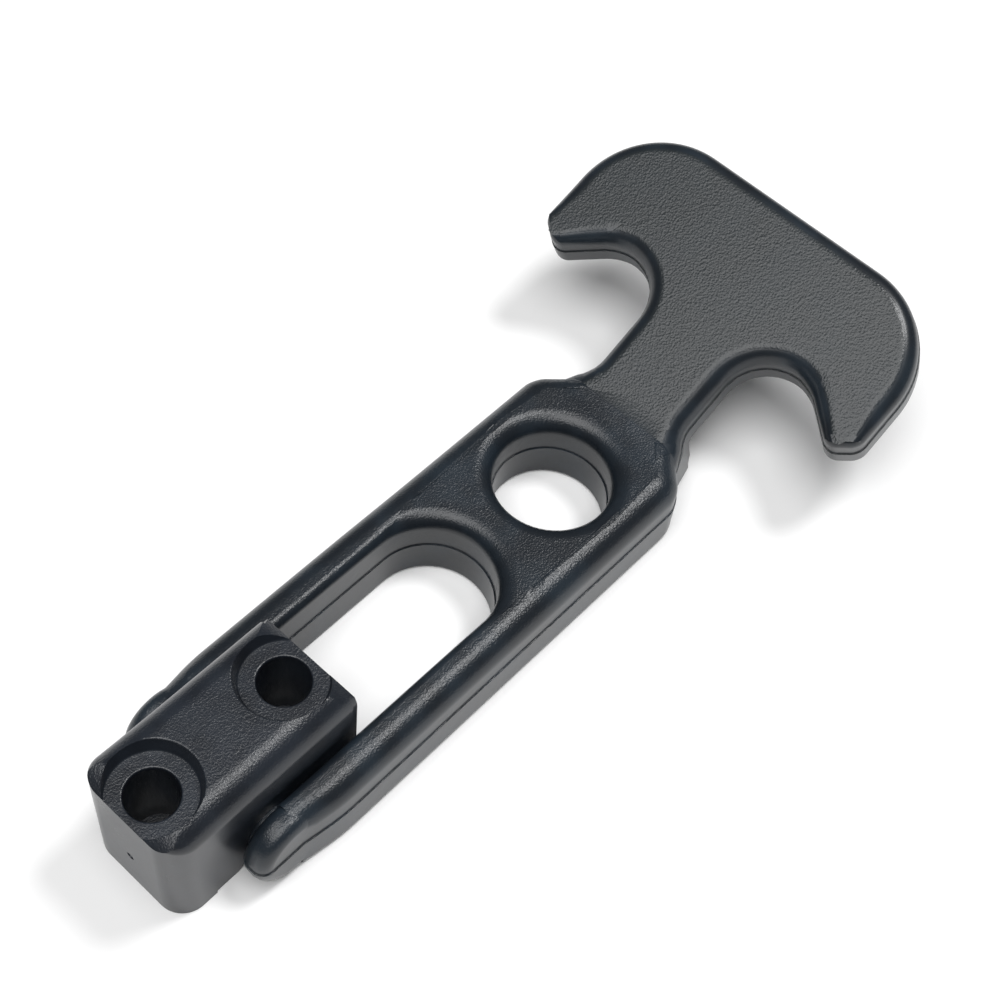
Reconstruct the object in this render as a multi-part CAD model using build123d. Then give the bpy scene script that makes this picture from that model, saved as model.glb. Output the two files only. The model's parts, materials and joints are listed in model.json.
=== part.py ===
from build123d import *
import os
from math import cos, radians, sin

# Flexible T-handle draw latch: a nylon bracket, a rubber handle and the steel pin moulded in its crossbar.
# Millimetres. +X runs from the bracket to the T grip and +Z leaves the mounting face. The origin is the
# middle of the two screw holes on the mounting face, straight under the hinge axis.

# Bracket
screw_spacing = 25.4
screw_hole_radius = 2.65
counterbore_radius = 4.1
counterbore_floor = 6.0
screw_to_end = 5.4
bracket_width = 20.2
bracket_height = 24.2
corner_radius = 4.5
shoulder_radius = 4.5
recess_radius = 7.3
recess_depth = 2.4
dimple_radius = 0.7
dimple_depth = 0.4
dimple_height = 9.0

# Hinge
pin_radius = 2.0
pin_embed = 2.6
crossbar_radius = 4.4
hinge_clearance = 0.08
mouth_chamfer = 2.0

# Handle body
body_thickness = 14.0
leg_width = 6.6
leg_tip_width = 4.4
taper_length = 15.5
leg_clearance = 0.3
slot_end = 55.0
slot_web = 8.8
keeper_hole_radius = 9.7
keeper_hole_to_shoulder = 13.5
rim_radius = 2.0
lower_edge_radius = 0.8
leg_tip_radius = 3.0
taper_radius = 30.0
shoulder_plan_radius = 4.0
neck_plan_radius = 6.0
shoulder_to_ramp = 3.0
ramp_radius = 5.0

# Neck and T grip, in the raised plane of the grip, from the crease outwards
shoulder_to_crease = 3.8
grip_angle = 24.5
grip_thickness = 9.5
grip_length = 46.5
grip_half_width = 35.0
grip_corner_radius = 17.0
neck_half_width = 9.8
neck_overlap = 4.8
notch_x = 14.9
notch_radius = 8.7
notch_exit_angle = 33.0
horn_x = 16.2
horn_rise = 4.6
horn_lean = 3.4
horn_nose_radius = 2.0
horn_side_radius = 2.5

bracket_length = screw_spacing + 2 * screw_to_end
hinge_z = body_thickness / 2
leg_tip_x = -hinge_z
slot_half_width = bracket_width / 2 + leg_clearance
body_half_width = slot_half_width + leg_width
tip_half_width = slot_half_width + leg_tip_width
pin_length = 2 * (slot_half_width + pin_embed)
keeper_hole_x = slot_end + slot_web + keeper_hole_radius
body_end = keeper_hole_x + keeper_hole_to_shoulder
ramp_start = body_end + shoulder_to_ramp
crease_x = body_end + shoulder_to_crease
neck_start = body_end + body_half_width - neck_half_width
neck_root = neck_start + neck_overlap
notch_y = neck_half_width + notch_radius
horn_y = grip_half_width - horn_rise
grip_slope = radians(grip_angle)
grip_plane = Plane(
    origin=(crease_x, 0, body_thickness),
    x_dir=(cos(grip_slope), 0, sin(grip_slope)),
    z_dir=(-sin(grip_slope), 0, cos(grip_slope)),
)


def both_sides(half):
    """A face on both sides of the X axis, from its +Y half."""
    return half + mirror(half, Plane.XZ)


def post(radius, height):
    """A round upright that stands on z = 0."""
    return Cylinder(radius, height, align=(Align.CENTER, Align.CENTER, Align.MIN))


def corners_at(face, x, y):
    """The corners of a plan that stand at x, y."""
    return face.vertices().filter_by(lambda corner: abs(corner.X - x) < 1e-4 and abs(corner.Y - y) < 1e-4)


def hinge_bar(radius, length):
    """A round bar along the hinge axis."""
    return Pos(0, 0, hinge_z) * Rot(90, 0, 0) * Cylinder(radius, length)


def bracket():
    """The block between the legs, with two sunk screw holes and a channel for the crossbar."""
    block = extrude(RectangleRounded(bracket_length, bracket_width, corner_radius), bracket_height)
    top = block.edges().group_by(Axis.Z)[-1]
    block = fillet(top.filter_by(Axis.X), shoulder_radius)
    for side in (-1, 1):
        x = side * screw_spacing / 2
        block -= Pos(x, 0, bracket_height - recess_depth) * post(recess_radius, recess_depth)
        block -= Pos(x, 0, counterbore_floor) * post(counterbore_radius, bracket_height)
        block -= Pos(x, 0, 0) * post(screw_hole_radius, bracket_height)
    channel_half = crossbar_radius + hinge_clearance
    mouth_half = channel_half + mouth_chamfer
    mouth = make_face(
        Polyline(
            (-mouth_half, 0),
            (mouth_half, 0),
            (channel_half, mouth_chamfer),
            (channel_half, hinge_z),
            (-channel_half, hinge_z),
            (-channel_half, mouth_chamfer),
            close=True,
        )
    )
    block -= extrude(Plane.XZ * mouth, bracket_width, both=True)
    block -= hinge_bar(channel_half, 2 * bracket_width)
    front = -bracket_length / 2
    dimple = Pos(front, 0, dimple_height) * Rot(0, 90, 0) * Cylinder(dimple_radius, 2 * dimple_depth)
    return block - dimple


def body_outline():
    """The plan of the two legs and the slab, with the slot and the keeper hole open."""
    taper_end = leg_tip_x + taper_length
    half = make_face(
        Polyline(
            (leg_tip_x, 0),
            (leg_tip_x, tip_half_width),
            (taper_end, body_half_width),
            (body_end, body_half_width),
            (neck_start, neck_half_width),
            (neck_root, neck_half_width),
            (neck_root, 0),
            close=True,
        )
    )
    half = fillet(corners_at(half, leg_tip_x, tip_half_width), leg_tip_radius)
    half = fillet(corners_at(half, taper_end, body_half_width), taper_radius)
    half = fillet(corners_at(half, body_end, body_half_width), shoulder_plan_radius)
    half = fillet(corners_at(half, neck_start, neck_half_width), neck_plan_radius)
    slot_straight = slot_end - slot_half_width
    slot = Rectangle(2 * (slot_straight - leg_tip_x), 2 * slot_half_width)
    outline = both_sides(half) - Pos(leg_tip_x, 0) * slot
    outline -= Pos(slot_straight, 0) * Circle(slot_half_width)
    return outline - Pos(keeper_hole_x, 0) * Circle(keeper_hole_radius)


def body_profile():
    """The side view: leg tips rounded about the hinge axis, and a ramp up to the underside of the neck."""
    ramp_top = body_thickness - grip_thickness
    slab = make_face(
        Polyline(
            (0, 0),
            (ramp_start, 0),
            (ramp_start + ramp_top, ramp_top),
            (neck_root, ramp_top),
            (neck_root, body_thickness),
            (0, body_thickness),
            close=True,
        )
    )
    slab = fillet(corners_at(slab, ramp_start, 0), ramp_radius)
    return slab + Pos(0, hinge_z) * Circle(hinge_z)


def body():
    """Legs and slab, with rounded rims, cut to the side view."""
    prism = extrude(body_outline(), body_thickness)
    prism = fillet(prism.edges().group_by(Axis.Z)[-1], rim_radius)
    prism = fillet(prism.edges().group_by(Axis.Z)[0], lower_edge_radius)
    return prism & extrude(Plane.XZ * body_profile(), 2 * body_half_width, both=True)


def grip_outline():
    """The plan of the neck and the T, with a hooked notch for a finger on each side."""
    exit_angle = radians(notch_exit_angle)
    notch_root = (notch_x, neck_half_width)
    notch_floor = (notch_x + notch_radius * cos(radians(-20)), notch_y + notch_radius * sin(radians(-20)))
    notch_exit = (notch_x + notch_radius * cos(exit_angle), notch_y + notch_radius * sin(exit_angle))
    horn_side = (horn_x + horn_lean, grip_half_width)
    corner_x = grip_length - grip_corner_radius
    corner_y = grip_half_width - grip_corner_radius
    edges = [
        Line((0, 0), (0, neck_half_width)),
        Line((0, neck_half_width), notch_root),
        ThreePointArc(notch_root, notch_floor, notch_exit),
        Line(notch_exit, (horn_x, horn_y)),
        Line((horn_x, horn_y), horn_side),
        Line(horn_side, (corner_x, grip_half_width)),
        CenterArc((corner_x, corner_y), grip_corner_radius, 0, 90),
        Line((grip_length, corner_y), (grip_length, 0)),
        Line((grip_length, 0), (0, 0)),
    ]
    half = make_face(edges)
    half = fillet(corners_at(half, horn_x, horn_y), horn_nose_radius)
    half = fillet(corners_at(half, *horn_side), horn_side_radius)
    return both_sides(half)


def grip():
    """The raised neck and T."""
    return grip_plane * extrude(grip_outline(), -grip_thickness)


def t_handle():
    """The rubber moulding: body, raised grip and the crossbar between the leg tips."""
    crossbar = hinge_bar(crossbar_radius, 2 * slot_half_width + 2)
    return body() + grip() + crossbar - hinge_bar(pin_radius, pin_length)


def save(node, solid):
    export_step(solid, os.path.join("parts", node + ".step"))


os.makedirs("parts", exist_ok=True)
save("bracket", bracket())
save("t_handle", t_handle())
save("hinge_pin", hinge_bar(pin_radius, pin_length))
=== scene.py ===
import bpy
import json
import math
from mathutils import Matrix, Vector


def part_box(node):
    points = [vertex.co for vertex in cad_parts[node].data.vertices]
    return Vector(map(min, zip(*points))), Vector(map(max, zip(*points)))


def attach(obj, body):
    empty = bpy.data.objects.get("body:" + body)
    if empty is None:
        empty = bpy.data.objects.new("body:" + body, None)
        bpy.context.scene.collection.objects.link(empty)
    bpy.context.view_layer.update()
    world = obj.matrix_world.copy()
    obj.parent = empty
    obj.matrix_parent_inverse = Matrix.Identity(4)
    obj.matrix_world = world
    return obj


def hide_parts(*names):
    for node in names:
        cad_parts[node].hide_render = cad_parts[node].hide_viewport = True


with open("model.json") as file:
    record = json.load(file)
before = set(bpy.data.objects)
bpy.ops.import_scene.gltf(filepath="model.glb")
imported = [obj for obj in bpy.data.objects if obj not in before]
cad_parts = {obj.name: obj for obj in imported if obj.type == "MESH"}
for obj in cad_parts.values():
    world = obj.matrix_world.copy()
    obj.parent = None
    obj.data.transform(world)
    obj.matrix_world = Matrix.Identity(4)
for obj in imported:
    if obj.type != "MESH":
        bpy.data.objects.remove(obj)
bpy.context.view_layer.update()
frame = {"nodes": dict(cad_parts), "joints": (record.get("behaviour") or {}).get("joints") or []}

mm = 0.001
bracketLow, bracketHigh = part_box("bracket")
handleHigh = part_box("t_handle")[1]
hingeZ = frame["joints"][0]["pos_m"][2]


def objectMode():
    if bpy.context.mode != "OBJECT":
        bpy.ops.object.mode_set(mode="OBJECT")


def takeUp(piece):
    objectMode()
    bpy.ops.object.select_all(action="DESELECT")
    piece.select_set(True)
    bpy.context.view_layer.objects.active = piece


def pick(piece, kind, test):
    # kind is VERT, EDGE or FACE, and test looks at one of them
    takeUp(piece)
    bpy.ops.object.mode_set(mode="EDIT")
    bpy.ops.mesh.select_mode(type=kind)
    bpy.ops.mesh.select_all(action="DESELECT")
    bpy.ops.object.mode_set(mode="OBJECT")
    mesh = piece.data
    group = {"VERT": mesh.vertices, "EDGE": mesh.edges, "FACE": mesh.polygons}[kind]
    picked = [bool(test(part)) for part in group]
    group.foreach_set("select", picked)
    bpy.ops.object.mode_set(mode="EDIT")


def pickAll():
    bpy.ops.mesh.select_all(action="SELECT")


def editAll(piece):
    takeUp(piece)
    bpy.ops.object.mode_set(mode="EDIT")
    pickAll()


def addRod(radius, length, place, sides=64):
    # a cylinder that lies along Y
    objectMode()
    bpy.ops.object.select_all(action="DESELECT")
    turn = (math.pi / 2, 0, 0)
    bpy.ops.mesh.primitive_cylinder_add(
        vertices=sides, radius=radius, depth=length, location=place, rotation=turn)
    return bpy.context.active_object


def sharpWeights(mesh):
    return mesh.attributes.new("bevel_weight_edge", "FLOAT", "EDGE")


def fade(value, start, end):
    # 0 before start, 1 past end
    return min(max((value - start) / (end - start), 0), 1)


def useModifier(piece, kind, **settings):
    takeUp(piece)
    modifier = piece.modifiers.new(kind.title(), kind)
    for name, value in settings.items():
        setattr(modifier, name, value)
    bpy.ops.object.modifier_apply(modifier=modifier.name)


def cutWith(piece, tool, operation="DIFFERENCE"):
    useModifier(piece, "BOOLEAN", object=tool, operation=operation, solver="EXACT")
    bpy.data.objects.remove(tool)


def cleanUp(piece, angle=35):
    editAll(piece)
    bpy.ops.mesh.remove_doubles(threshold=0.002 * mm)
    bpy.ops.mesh.dissolve_degenerate(threshold=0.002 * mm)
    bpy.ops.mesh.normals_make_consistent(inside=False)
    objectMode()
    bpy.ops.object.transform_apply(location=True, rotation=True, scale=True)
    bpy.ops.object.shade_smooth_by_angle(angle=math.radians(angle))
    useModifier(piece, "WEIGHTED_NORMAL", keep_sharp=True, weight=80)


def tangentReach(corners, i):
    x, y, radius = corners[i]
    here = Vector((x, y, 0))
    back = (Vector(corners[i - 1][:2] + (0,)) - here).normalized()
    on = (Vector(corners[(i + 1) % len(corners)][:2] + (0,)) - here).normalized()
    return radius * math.tan((math.pi - back.angle(on)) / 2)


def withSidePoints(corners, spacing, firstX):
    # long sides get points along them past firstX, so that a rim can widen and narrow
    full = []
    for i, (x, y, radius) in enumerate(corners):
        full.append((x, y, radius))
        there = corners[(i + 1) % len(corners)]
        side = Vector((there[0] - x, there[1] - y))
        start = tangentReach(corners, i)
        end = side.length - tangentReach(corners, (i + 1) % len(corners))
        count = int((end - start) / spacing)
        if count < 2 or (abs(y) < 0.01 * mm and abs(there[1]) < 0.01 * mm):
            continue
        for k in range(1, count):
            along = (start + (end - start) * k / count) / side.length
            if x + side.x * along > firstX:
                full.append((x + side.x * along, y + side.y * along, 0))
    return full


def drawLine(name, points):
    # one vertex drawn out from point to point
    objectMode()
    bpy.ops.object.select_all(action="DESELECT")
    bpy.ops.mesh.primitive_plane_add(size=mm)
    piece = bpy.context.active_object
    piece.name = name
    piece.data.name = name
    bpy.ops.object.mode_set(mode="EDIT")
    bpy.ops.mesh.select_mode(type="VERT")
    pickAll()
    bpy.ops.mesh.merge(type="CENTER")
    at = Vector((0, 0, 0))
    for i, point in enumerate(points):
        step = Vector(point) - at
        if i == 0:
            bpy.ops.transform.translate(value=step)
        else:
            bpy.ops.mesh.extrude_region_move(TRANSFORM_OT_translate={"value": step})
        at += step
    pickAll()
    return piece


def traceOutline(name, corners):
    # a flat outline, filled, with each corner rounded
    piece = drawLine(name, [(x, y, 0) for x, y, radius in corners])
    ends = [Vector((x, y, 0)) for x, y, radius in (corners[0], corners[-1])]
    pick(piece, "VERT", lambda v: min((v.co - end).length for end in ends) < 0.01 * mm)
    bpy.ops.mesh.edge_face_add()
    bpy.ops.mesh.select_mode(type="EDGE")
    pickAll()
    bpy.ops.mesh.edge_face_add()
    for i, (x, y, radius) in enumerate(corners):
        if not radius:
            continue
        here = Vector((x, y, 0))
        back = (Vector(corners[i - 1][:2] + (0,)) - here).normalized()
        on = (Vector(corners[(i + 1) % len(corners)][:2] + (0,)) - here).normalized()
        turn = math.pi - back.angle(on)
        reach = radius * math.tan(turn / 2)
        steps = max(3, round(turn * (radius / mm + 6) / 1.6))
        pick(piece, "VERT", lambda v: (v.co - here).length < 0.01 * mm)
        bpy.ops.mesh.bevel(offset_type="OFFSET", offset=reach, segments=steps, profile=0.5, affect="VERTICES")
    objectMode()
    return piece


camera = {
    "position": Vector((-71.06, -94.54, 260.85)) * mm,
    "aim": Vector((70.69, 7.95, 0)) * mm,
    "roll": 8.2,
    "lens": 65.67,
}


def placeCamera():
    data = bpy.data.cameras.new("camera")
    data.lens = camera["lens"]
    data.sensor_width = 36
    data.clip_start = 0.01
    eye = bpy.data.objects.new("camera", data)
    bpy.context.scene.collection.objects.link(eye)
    look = (camera["aim"] - camera["position"]).to_track_quat("-Z", "Y").to_matrix().to_4x4()
    roll = Matrix.Rotation(math.radians(camera["roll"]), 4, "Z")
    eye.matrix_world = Matrix.Translation(camera["position"]) @ look @ roll
    bpy.context.scene.camera = eye


studio = {
    "floorSize": 3.0,
    "floorDrop": 0.1 * mm,
    "floorColour": (0.9, 0.9, 0.9, 1),
    "worldLevel": 0.1,
    "softBox": {"place": (-0.26, -0.05, 0.95), "size": 0.98, "power": 10.2},
    "key": {"place": (0.5, -0.14, 0.95), "size": 0.3, "power": 5.5},
}


def areaLight(name, place, size, power):
    data = bpy.data.lights.new(name, "AREA")
    data.shape = "DISK"
    data.size = size
    data.energy = power
    lamp = bpy.data.objects.new(name, data)
    bpy.context.scene.collection.objects.link(lamp)
    lamp.location = place
    lamp.rotation_euler = (camera["aim"] - Vector(place)).to_track_quat("-Z", "Y").to_euler()


def buildStudio():
    objectMode()
    bpy.ops.object.select_all(action="DESELECT")
    bpy.ops.mesh.primitive_plane_add(size=studio["floorSize"], location=(0, 0, -studio["floorDrop"]))
    floor = bpy.context.active_object
    floor.name = "floor"
    finish = bpy.data.materials.new("floorPaper")
    finish.use_nodes = True
    shader = finish.node_tree.nodes["Principled BSDF"]
    shader.inputs["Base Color"].default_value = studio["floorColour"]
    shader.inputs["Roughness"].default_value = 0.9
    floor.data.materials.append(finish)
    world = bpy.data.worlds.new("room")
    bpy.context.scene.world = world
    world.use_nodes = True
    world.node_tree.nodes["Background"].inputs["Color"].default_value = (1, 1, 1, 1)
    world.node_tree.nodes["Background"].inputs["Strength"].default_value = studio["worldLevel"]
    for name in ("softBox", "key"):
        areaLight(name, **studio[name])


placeCamera()
buildStudio()
bpy.context.scene.view_settings.view_transform = "Standard"
print("camera, floor and lights placed")


class Wire:
    # a socket that can be used in sums
    def __init__(self, graph, socket):
        self.graph = graph
        self.socket = socket

    def maths(self, operation, *values):
        return self.graph.node("ShaderNodeMath", {"operation": operation}, list(values))

    def __add__(self, other):
        return self.maths("ADD", self, other)

    __radd__ = __add__

    def __mul__(self, other):
        return self.maths("MULTIPLY", self, other)

    __rmul__ = __mul__

    def __sub__(self, other):
        return self.maths("SUBTRACT", self, other)

    def __rsub__(self, other):
        return self.maths("SUBTRACT", other, self)


class Finish:
    def __init__(self, name):
        self.material = bpy.data.materials.new(name)
        self.material.use_nodes = True
        self.nodes = self.material.node_tree.nodes
        self.links = self.material.node_tree.links
        self.shader = self.nodes["Principled BSDF"]

    def feed(self, socket, value):
        if isinstance(value, Wire):
            self.links.new(value.socket, socket)
        else:
            socket.default_value = value

    def node(self, kind, settings=None, inputs=None, output=0):
        made = self.nodes.new(kind)
        for name, value in (settings or {}).items():
            setattr(made, name, value)
        pairs = enumerate(inputs) if isinstance(inputs, list) else (inputs or {}).items()
        for key, value in pairs:
            self.feed(made.inputs[key], value)
        return Wire(self, made.outputs[output])

    def place(self):
        return self.node("ShaderNodeTexCoord", output="Object")

    def facing(self):
        return self.node("ShaderNodeTexCoord", output="Normal")

    def noise(self, size, detail=2.0, rough=0.5, at=None):
        values = {"Vector": at or self.place(), "Scale": 1 / size, "Detail": detail, "Roughness": rough}
        return self.node("ShaderNodeTexNoise", {}, values)

    def step(self, value, low, high):
        values = {"Value": value, "From Min": low, "From Max": high}
        return self.node("ShaderNodeMapRange", {"interpolation_type": "SMOOTHSTEP"}, values)

    def blend(self, share, first, second):
        # sockets 6 and 7 are the two colours, output 2 the mixed one
        values = {"Factor": share, 6: first, 7: second}
        return self.node("ShaderNodeMix", {"data_type": "RGBA"}, values, output=2)

    def dot(self, vector, direction):
        values = [vector, direction]
        return self.node("ShaderNodeVectorMath", {"operation": "DOT_PRODUCT"}, values, output="Value")

    def bump(self, height, distance):
        return self.node("ShaderNodeBump", {}, {"Height": height, "Distance": distance})


rubber = {
    "black": (0.0085, 0.0115, 0.0155, 1),
    "blue": (0.014, 0.021, 0.029, 1),
    # painted sheen: the lighter grey put on the grip's flat top, standing in for light that face catches
    "paintedGripSheen": (0.015, 0.019, 0.021, 1),
    "gripGrain": 0.4 * mm,
    "gripDepth": 0.07 * mm,
    "bodyGrain": 0.3 * mm,
    "bodyDepth": 0.075 * mm,
    "wallShare": 0.12,      # how much of the body grain the walls get
    "flowSize": 2.2 * mm,
    "flowDepth": 0.012 * mm,
    "driftSize": 9 * mm,    # slow change of tone
    "roughness": 0.3,
}


def rubberFinish(gripTilt, creaseX):
    f = Finish("mouldedRubber")
    at = f.place()
    facing = f.facing()
    along = f.dot(at, (1, 0, 0))
    pastCrease = f.step(along, creaseX - 0.05 * mm, creaseX + 0.25 * mm)
    gripUp = (-math.sin(gripTilt), 0, math.cos(gripTilt))
    gripTop = f.step(f.dot(facing, gripUp), 0.93, 0.997) * pastCrease
    bodyTop = f.step(f.dot(facing, (0, 0, 1)), 0.3, 0.9) * (1 - pastCrease)
    cellSize = {"Vector": at, "Scale": 1 / rubber["gripGrain"], "Smoothness": 0.6}
    cells = f.node("ShaderNodeTexVoronoi", {"feature": "SMOOTH_F1"}, cellSize, output="Distance")
    leather = cells * 0.7 + f.noise(rubber["gripGrain"] * 0.9, 2.0) * 0.6
    speckle = f.noise(rubber["bodyGrain"], 1.5, 0.6)
    drift = f.noise(rubber["driftSize"], 3.0)
    height = leather * gripTop * rubber["gripDepth"]
    height = height + speckle * (bodyTop * 0.9 + rubber["wallShare"]) * rubber["bodyDepth"]
    flow = f.noise(rubber["flowSize"], 3.0)
    f.feed(f.shader.inputs["Normal"], f.bump(height + flow * rubber["flowDepth"], 1.0))
    base = f.blend(f.step(drift, 0.35, 0.7), rubber["black"], rubber["blue"])
    # painted sheen: the grip's flat top is blended towards a lighter grey, for the light its tilted face
    # catches
    f.feed(f.shader.inputs["Base Color"], f.blend(gripTop * 0.8, base, rubber["paintedGripSheen"]))
    roughness = rubber["roughness"] + drift * 0.05 - speckle * 0.04 + gripTop * 0.04
    f.feed(f.shader.inputs["Roughness"], roughness)
    return f.material


nylon = {
    "black": (0.009, 0.011, 0.015, 1),
    "blue": (0.015, 0.019, 0.026, 1),
    "grain": 0.3 * mm,
    "depth": 0.075 * mm,
    "wallShare": 0.08,
    "flowSize": 3 * mm,
    "flowDepth": 0.012 * mm,
    "driftSize": 7 * mm,
    "roughness": 0.28,
}


def nylonFinish():
    f = Finish("mouldedNylon")
    facing = f.facing()
    topSide = f.step(f.dot(facing, (0, 0, 1)), 0.3, 0.9)
    speckle = f.noise(nylon["grain"], 1.5, 0.6)
    drift = f.noise(nylon["driftSize"], 3.0)
    flow = f.noise(nylon["flowSize"], 2.0)
    height = speckle * (topSide * 0.9 + nylon["wallShare"]) * nylon["depth"] + flow * nylon["flowDepth"]
    f.feed(f.shader.inputs["Normal"], f.bump(height, 1.0))
    f.feed(f.shader.inputs["Base Color"], f.blend(f.step(drift, 0.3, 0.7), nylon["black"], nylon["blue"]))
    f.feed(f.shader.inputs["Roughness"], nylon["roughness"] + drift * 0.06 - speckle * 0.04)
    return f.material


def steelFinish():
    f = Finish("drawnSteel")
    at = f.node("ShaderNodeMapping", {}, {"Vector": f.place(), "Scale": (1, 0.05, 1)})
    lines = f.noise(0.15 * mm, 3.0, 0.6, at)
    f.feed(f.shader.inputs["Base Color"], f.blend(lines, (0.42, 0.42, 0.43, 1), (0.6, 0.6, 0.6, 1)))
    f.feed(f.shader.inputs["Roughness"], 0.22 + lines * 0.2)
    f.feed(f.shader.inputs["Normal"], f.bump(lines, 0.004 * mm))
    f.shader.inputs["Metallic"].default_value = 1.0
    return f.material


handle = {
    "thickness": 2 * hingeZ,
    "slotHalf": bracketHigh.y + 0.3 * mm,
    "legWidth": 6.6 * mm,
    "legTipWidth": 4.4 * mm,
    "taperEnd": 8.5 * mm,
    "legEnd": 0.9 * mm,
    "bulbRim": 2.3 * mm,
    "slotEnd": 55.0 * mm,
    "keeperX": 73.5 * mm,
    "keeperRadius": 9.7 * mm,
    "bodyEnd": 87.0 * mm,
    "shoulderRadius": 5.5 * mm,
    "neckHalf": 9.8 * mm,
    "neckRadius": 6.0 * mm,
    "creaseX": 90.8 * mm,
    "rampEnd": 94.5 * mm,
    "gripThickness": 9.5 * mm,
    "gripTilt": math.radians(24.5),
    "gripLength": 46.5 * mm,
    "gripHalf": handleHigh.y,
    "gripCorner": 17.0 * mm,
    "notchX": 23.6 * mm,
    "notchTop": 21.2 * mm,
    "notchRadius": 8.7 * mm,
    "hornX": 16.2 * mm,
    "hornRise": 4.6 * mm,
    "hornLean": 3.4 * mm,
    "crossbarRadius": 4.4 * mm,
    "bodyRim": 4.4 * mm,
    "legRim": 3.9 * mm,
    "slotRim": 1.8 * mm,
    "slotEndRim": 3.2 * mm,
    "keeperRim": 3.5 * mm,
    "gripRim": 3.4 * mm,
    "hornRim": 1.7 * mm,
    "underRim": 1.2 * mm,
    "innerUnderRim": 0.7 * mm,
    "widestRim": 6 * mm,
    "hornNose": 2.5 * mm,
    "hornSide": 3.2 * mm,
    "taperRadius": 30 * mm,
    "partingStep": 0.22 * mm,
    "sideSpacing": 2 * mm,
    "barEmbed": 0.8 * mm,
}


def handleOutline():
    h = handle
    bodyHalf = h["slotHalf"] + h["legWidth"]
    tipX = h["legEnd"]
    tipHalf = legOuter(tipX)
    neckX = h["bodyEnd"] + bodyHalf - h["neckHalf"]
    grip = h["creaseX"]
    hornY = h["gripHalf"] - h["hornRise"]
    return [
        (tipX, h["slotHalf"], 0),
        (tipX, tipHalf, 0),
        (h["taperEnd"], bodyHalf, h["taperRadius"]),
        (h["bodyEnd"], bodyHalf, h["shoulderRadius"]),
        (neckX, h["neckHalf"], h["neckRadius"]),
        (grip + h["notchX"], h["neckHalf"], h["notchRadius"]),
        (grip + h["notchX"], h["notchTop"], h["notchRadius"]),
        (grip + h["hornX"], hornY, h["hornNose"]),
        (grip + h["hornX"] + h["hornLean"], h["gripHalf"], h["hornSide"]),
        (grip + h["gripLength"], h["gripHalf"], h["gripCorner"]),
        (grip + h["gripLength"], 0, 0),
        (h["keeperX"] + h["keeperRadius"], 0, 0),
        (h["keeperX"] + h["keeperRadius"], h["keeperRadius"], h["keeperRadius"]),
        (h["keeperX"] - h["keeperRadius"], h["keeperRadius"], h["keeperRadius"] - 0.01 * mm),
        (h["keeperX"] - h["keeperRadius"], 0, 0),
        (h["slotEnd"], 0, 0),
        (h["slotEnd"], h["slotHalf"], h["slotHalf"] - 0.01 * mm),
    ]


def legOuter(x):
    # half width over the legs at x
    h = handle
    share = fade(x, -hingeZ, h["taperEnd"])
    return h["slotHalf"] + h["legTipWidth"] + share * (h["legWidth"] - h["legTipWidth"])


def rimRadius(point):
    # how far the rim is rounded at a point on the flat blank
    h = handle
    x, y, z = point.x, abs(point.y), point.z
    level = fade(z, 0, h["thickness"])
    leg = (legOuter(x) - h["slotHalf"]) / h["legWidth"]
    if x > h["creaseX"]:
        # the horns are narrow, so their rims are smaller
        horn = Vector((h["creaseX"] + h["hornX"] + 1.5 * mm, h["gripHalf"] - 2 * mm))
        nose = fade((Vector((x, y)) - horn).length, 2.5 * mm, 10.5 * mm)
        top = h["hornRim"] + (h["gripRim"] - h["hornRim"]) * nose
        rejoin = fade(x, h["creaseX"], h["creaseX"] + 6 * mm)
        top = h["bodyRim"] * (1 - rejoin) + top * rejoin
        under = h["underRim"]
        if x > h["rampEnd"] - 0.1 * mm:
            level = fade(z, h["thickness"] - h["gripThickness"], h["thickness"])
    elif Vector((x - h["keeperX"], y)).length < h["keeperRadius"] + 0.3 * mm:
        top, under = h["keeperRim"], h["innerUnderRim"]
    elif y < h["slotHalf"] + 0.2 * mm and x < h["slotEnd"] + 0.2 * mm:
        turnStart = h["slotEnd"] - h["slotHalf"] - 2 * mm
        turn = fade(x, turnStart, turnStart + 7 * mm)
        top = (h["slotRim"] * (1 - turn) + h["slotEndRim"] * turn) * leg
        under = h["innerUnderRim"]
    else:
        slab = fade(x, h["slotEnd"] - 14 * mm, h["slotEnd"] - 2 * mm)
        top = (h["legRim"] + (h["bodyRim"] - h["legRim"]) * slab) * leg
        under = h["underRim"]
    return under + (top - under) * level


def buildHandle():
    h = handle
    deep = h["thickness"] + h["partingStep"]
    corners = withSidePoints(handleOutline(), h["sideSpacing"], h["legEnd"] + 1 * mm)
    piece = traceOutline("rubberHandle", corners)
    useModifier(piece, "MIRROR", use_axis=(False, True, False), merge_threshold=0.003 * mm)
    editAll(piece)
    bpy.ops.mesh.remove_doubles(threshold=0.03 * mm)
    bpy.ops.mesh.normals_make_consistent(inside=False)
    pickAll()
    bpy.ops.mesh.extrude_region_move(TRANSFORM_OT_translate={"value": (0, 0, deep)})
    pickAll()
    bpy.ops.mesh.normals_make_consistent(inside=False)
    for x in (h["creaseX"], h["rampEnd"]):
        pickAll()
        bpy.ops.mesh.bisect(plane_co=(x, 0, 0), plane_no=(1, 0, 0))
    # the grip is thinner than the body
    pick(piece, "VERT", lambda v: v.co.x > h["rampEnd"] - 0.01 * mm and v.co.z < 0.1 * mm)
    bpy.ops.transform.translate(value=(0, 0, deep - h["gripThickness"]))
    objectMode()
    roundRims(piece)
    for side in (-1, 1):
        cutWith(piece, makeBulb(side, deep), "UNION")
    addCrossbar(piece)
    raiseGrip(piece)
    stepAtParting(piece)
    return piece


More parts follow.
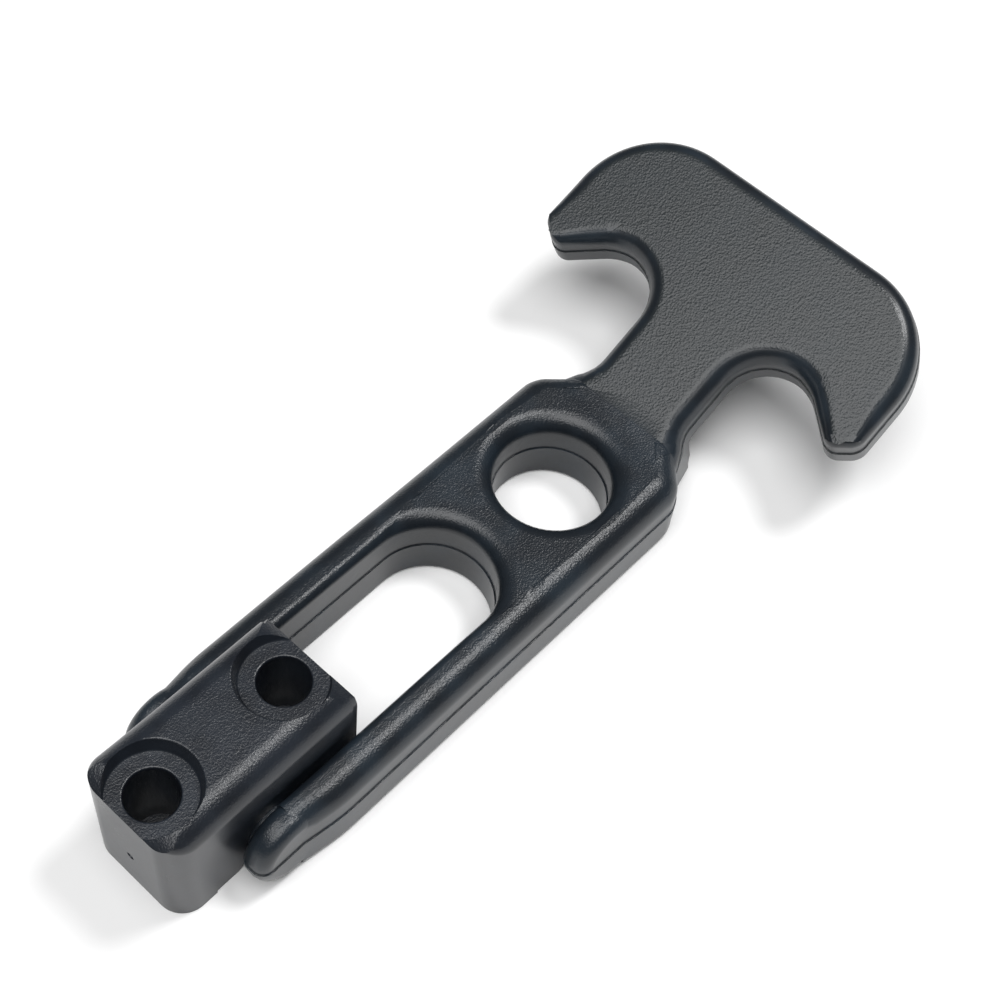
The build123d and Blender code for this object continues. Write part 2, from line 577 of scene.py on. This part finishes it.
def roundRims(piece):
    mesh = piece.data
    widest = handle["widestRim"]
    sides = {}
    for face in mesh.polygons:
        for key in face.edge_keys:
            sides.setdefault(key, []).append(face.normal.copy())
    weights = sharpWeights(mesh)
    for i, edge in enumerate(mesh.edges):
        a, b = (mesh.vertices[v].co for v in edge.vertices)
        faces = sides.get(edge.key, [])
        if len(faces) != 2 or faces[0].angle(faces[1]) < math.radians(50):
            continue
        if max(a.x, b.x) < handle["legEnd"] + 0.01 * mm:
            continue
        weights.data[i].value = rimRadius((a + b) / 2) / widest
    useModifier(
        piece, "BEVEL", width=widest, segments=7, limit_method="WEIGHT",
        offset_type="OFFSET", use_clamp_overlap=False, miter_outer="MITER_SHARP")


def makeBulb(side, deep):
    # a leg ends in a round bulb about the hinge
    h = handle
    wide = legOuter(h["legEnd"] + 0.4 * mm) - h["slotHalf"]
    place = (0, side * (h["slotHalf"] + wide / 2), deep / 2)
    bulb = addRod(deep / 2 - 0.01 * mm, wide - 0.02 * mm, place, 72)
    useModifier(
        bulb, "BEVEL", width=h["bulbRim"], segments=8, limit_method="ANGLE",
        angle_limit=math.radians(50))
    return bulb


def raiseGrip(piece):
    h = handle
    crease = (h["creaseX"], 0, h["thickness"])
    editAll(piece)
    bpy.ops.mesh.bisect(plane_co=(h["creaseX"], 0, 0), plane_no=(1, 0, 0))
    pick(piece, "VERT", lambda v: v.co.x > h["creaseX"] + 0.01 * mm)
    bpy.ops.transform.rotate(
        value=h["gripTilt"], orient_axis="Y", orient_type="GLOBAL", center_override=crease)
    objectMode()


def stepAtParting(piece):
    # the two mould halves meet at half thickness, and the lower one stands a little proud
    h = handle
    slope = h["gripTilt"]
    up = Vector((-math.sin(slope), 0, math.cos(slope)))
    gripMid = Vector((h["creaseX"], 0, h["thickness"])) - up * h["gripThickness"] / 2
    # where the middle of the body meets the middle of the grip
    rise = hingeZ - h["thickness"] + h["gripThickness"] / 2 / math.cos(slope)
    kinkX = h["creaseX"] + rise / math.tan(slope)
    pinRoom = 2.2 * mm

    def above(point):
        if math.hypot(point.x, point.z - hingeZ) < pinRoom:
            return False
        return point.z > hingeZ if point.x < kinkX else (point - gripMid).dot(up) > 0

    editAll(piece)
    bpy.ops.mesh.bisect(plane_co=(kinkX, 0, 0), plane_no=(1, 0, 0))
    pick(piece, "FACE", lambda f: f.center.x < kinkX)
    bpy.ops.mesh.bisect(plane_co=(0, 0, hingeZ), plane_no=(0, 0, 1), threshold=0.001 * mm)
    pick(piece, "FACE", lambda f: f.center.x > kinkX)
    bpy.ops.mesh.bisect(plane_co=gripMid, plane_no=up, threshold=0.001 * mm)
    pick(piece, "FACE", lambda f: above(f.center))
    bpy.ops.mesh.extrude_region_shrink_fatten(TRANSFORM_OT_shrink_fatten={"value": -h["partingStep"]})
    objectMode()


def addCrossbar(piece):
    # the bar that the legs share, with room in it for the pin
    pinLow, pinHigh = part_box("hinge_pin")
    axis = (0, 0, hingeZ)
    barHalf = handle["slotHalf"] + handle["barEmbed"]
    cutWith(piece, addRod(handle["crossbarRadius"], 2 * barHalf, axis), "UNION")
    cutWith(piece, addRod((pinHigh.z - pinLow.z) / 2, 2 * pinHigh.y, axis))


rubberHandle = buildHandle()
cleanUp(rubberHandle)
rubberHandle.data.materials.append(rubberFinish(handle["gripTilt"], handle["creaseX"]))
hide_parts("t_handle")
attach(rubberHandle, "handle_body")
print("handle", len(rubberHandle.data.polygons), "faces")

bracket = {
    "cornerRadius": 4.4 * mm,
    "shoulderRadius": 4.4 * mm,
    "endRim": 0.35 * mm,
    "rearLip": 1.1 * mm,
    "rearInset": 0.3 * mm,
    "recessDepth": 2.4 * mm,
    "fallStart": 11.83 * mm,    # the top curves down from here to the ends
    "fallDepth": 2.27 * mm,
    "recessRadius": 7.45 * mm,
    "recessFloorRadius": 6.9 * mm,
    "counterbore": 4.1 * mm,
    "counterboreFloor": 6.0 * mm,
    "screwRadius": 2.65 * mm,
    "screwX": 12.7 * mm,
    "edgeBreak": 0.35 * mm,
    "channelRadius": handle["crossbarRadius"] + 0.08 * mm,
    "mouthChamfer": 2.0 * mm,
    "panelStart": -11.0 * mm,
    "panelHeight": 15.0 * mm,
    "panelDepth": 0.22 * mm,
    "dimpleRadius": 0.7 * mm,
    "dimpleDepth": 0.4 * mm,
    "dimpleSink": 0.3 * mm,
    "dimpleHeight": 9.0 * mm,
    "widestRim": 6 * mm,
    "cutMargin": 1 * mm,        # how far a cutter reaches past the block
    "cutHalf": 15 * mm,
}


def addBlock(name, low, high):
    objectMode()
    bpy.ops.object.select_all(action="DESELECT")
    low, high = Vector(low), Vector(high)
    bpy.ops.mesh.primitive_cube_add(size=1, location=(low + high) / 2, scale=high - low)
    block = bpy.context.active_object
    block.name = name
    block.data.name = name
    bpy.ops.object.transform_apply(location=True, rotation=True, scale=True)
    return block


def lathe(profile, x, steps=72):
    # a round cutter about an upright at x, from its half section
    tool = drawLine("screwCutter", [(x + radius, 0, z) for radius, z in profile])
    bpy.ops.mesh.spin(steps=steps, angle=2 * math.pi, center=(x, 0, 0), axis=(0, 0, 1))
    pickAll()
    bpy.ops.mesh.remove_doubles(threshold=0.003 * mm)
    bpy.ops.mesh.normals_make_consistent(inside=False)
    objectMode()
    return tool


def ends(piece, e):
    return [piece.data.vertices[i].co for i in e.vertices]


def roundShoulders(piece, low, high):
    # the top rims are wide along the sides and fade out at the front
    b = bracket
    weights = sharpWeights(piece.data)
    for i, edge in enumerate(piece.data.edges):
        p, q = ends(piece, edge)
        middle = (p + q) / 2
        if min(p.z, q.z) < high.z - 0.01 * mm:
            continue
        if abs(middle.y) < high.y - 0.01 * mm and middle.x > low.x + b["cornerRadius"]:
            continue
        share = fade(middle.x, low.x, low.x + b["cornerRadius"])
        radius = b["endRim"] + (b["shoulderRadius"] - b["endRim"]) * share ** 0.7
        weights.data[i].value = radius / b["widestRim"]
    useModifier(
        piece, "BEVEL", width=b["widestRim"], segments=9, limit_method="WEIGHT",
        offset_type="OFFSET", use_clamp_overlap=False)


def lip(radius, z):
    # a rounded edge that opens out to a flat at z
    edge = bracket["edgeBreak"]
    turns = [math.radians(15 * k) for k in range(7)]
    return [(radius + edge * (1 - math.cos(t)), z - edge * (1 - math.sin(t))) for t in turns]


def screwSection(top):
    # half section of the room that a screw and its head take
    b = bracket
    floor = top - b["recessDepth"]
    edge = b["edgeBreak"]
    margin = b["cutMargin"]
    return [
        (0, -margin),
        (b["screwRadius"] + edge, -margin),
        (b["screwRadius"] + edge, 0),
        (b["screwRadius"], edge),
        (b["screwRadius"], b["counterboreFloor"]),
        (b["counterbore"], b["counterboreFloor"]),
        *lip(b["counterbore"], floor),
        (b["recessFloorRadius"] - edge / 2, floor),
        (b["recessFloorRadius"], floor + edge / 2),
        *lip(b["recessRadius"], top),
        (b["recessRadius"] + edge, top + margin),
        (0, top + margin),
    ]


def fallCutter(side, high):
    # takes off the top outside an arc that starts level and reaches fallDepth at the end
    b = bracket
    fall = b["fallDepth"]
    run = high.x - b["fallStart"]
    sweep = (run * run + fall * fall) / (2 * fall)
    topZ = high.z + b["cutMargin"]
    startY = -b["cutHalf"]
    curve = []
    for k in range(13):
        along = run * 1.02 * k / 12
        z = high.z - sweep + math.sqrt(sweep * sweep - along * along) + 0.004 * mm
        curve.append((side * (b["fallStart"] + along), startY, z))
    curve.append((curve[-1][0] + side * mm, startY, curve[-1][2] - 0.4 * mm))
    curve += [(curve[-1][0], startY, topZ), (curve[0][0], startY, topZ), curve[0]]
    tool = drawLine("fallTool", curve)
    bpy.ops.mesh.remove_doubles(threshold=0.002 * mm)
    bpy.ops.mesh.select_mode(type="EDGE")
    pickAll()
    bpy.ops.mesh.edge_face_add()
    pickAll()
    bpy.ops.mesh.extrude_region_move(TRANSFORM_OT_translate={"value": (0, 2 * b["cutHalf"], 0)})
    pickAll()
    bpy.ops.mesh.normals_make_consistent(inside=False)
    objectMode()
    return tool


def cutChannel(piece):
    # the channel for the crossbar is open below, with a chamfered mouth
    b = bracket
    half = b["cutHalf"]
    cutWith(piece, addRod(b["channelRadius"], 2 * half, (0, 0, hingeZ)))
    radius, margin = b["channelRadius"], b["cutMargin"]
    mouth = addBlock("mouth", (-radius, -half, -margin), (radius, half, hingeZ))
    editAll(mouth)
    bpy.ops.mesh.bisect(plane_co=(0, 0, b["mouthChamfer"]), plane_no=(0, 0, 1))
    pick(mouth, "VERT", lambda v: v.co.z < 0)
    wide = 1 + (b["mouthChamfer"] + margin) / radius
    bpy.ops.transform.resize(value=(wide, 1, 1), center_override=(0, 0, 0))
    cutWith(piece, mouth)


def buildBracket():
    b = bracket
    low, high = bracketLow, bracketHigh
    margin = b["cutMargin"]
    rear = high.x - b["rearLip"]
    piece = addBlock("bracketBlock", low, (rear, high.y, high.z))

    def frontUpright(e):
        p, q = ends(piece, e)
        return max(abs(p.x - low.x), abs(q.x - low.x)) < 0.01 * mm and abs(p.z - q.z) > 10 * mm

    pick(piece, "EDGE", frontUpright)
    bpy.ops.mesh.bevel(offset=b["cornerRadius"], segments=12, profile=0.5, affect="EDGES")
    for x in range(-12, 17, 2):     # slices, so that the rim can change along the sides
        pickAll()
        bpy.ops.mesh.bisect(plane_co=(x * mm, 0, 0), plane_no=(1, 0, 0))
    objectMode()
    roundShoulders(piece, low, high)
    # the rear face carries a lip, set in a little
    pick(piece, "FACE", lambda f: f.normal.x > 0.99 and f.center.x > rear - 0.01 * mm)
    bpy.ops.mesh.inset(thickness=b["rearInset"])
    bpy.ops.mesh.extrude_region_move(TRANSFORM_OT_translate={"value": (b["rearLip"], 0, 0)})
    objectMode()
    for side in (-1, 1):
        cutWith(piece, lathe(screwSection(high.z), side * b["screwX"]))
    for side in (-1, 1):
        cutWith(piece, fallCutter(side, high))
    cutChannel(piece)
    for side in (-1, 1):
        reach = sorted((side * (high.y + margin), side * (high.y - b["panelDepth"])))
        panelHigh = (high.x + margin, reach[1], b["panelHeight"])
        cutWith(piece, addBlock("panel", (b["panelStart"], reach[0], -margin), panelHigh))
    objectMode()
    bpy.ops.object.select_all(action="DESELECT")
    dimpleX = low.x + b["dimpleRadius"] - b["dimpleDepth"] - b["dimpleSink"]
    bpy.ops.mesh.primitive_uv_sphere_add(
        segments=32, ring_count=16, radius=b["dimpleRadius"], location=(dimpleX, 0, b["dimpleHeight"]))
    cutWith(piece, bpy.context.active_object)
    return piece


bracketBlock = buildBracket()
cleanUp(bracketBlock, 30)
bracketBlock.data.materials.append(nylonFinish())
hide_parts("bracket")
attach(bracketBlock, "bracket_body")
print("bracket", len(bracketBlock.data.polygons), "faces")

pin = frame["nodes"]["hinge_pin"]
pin.data.materials.clear()
pin.data.materials.append(steelFinish())
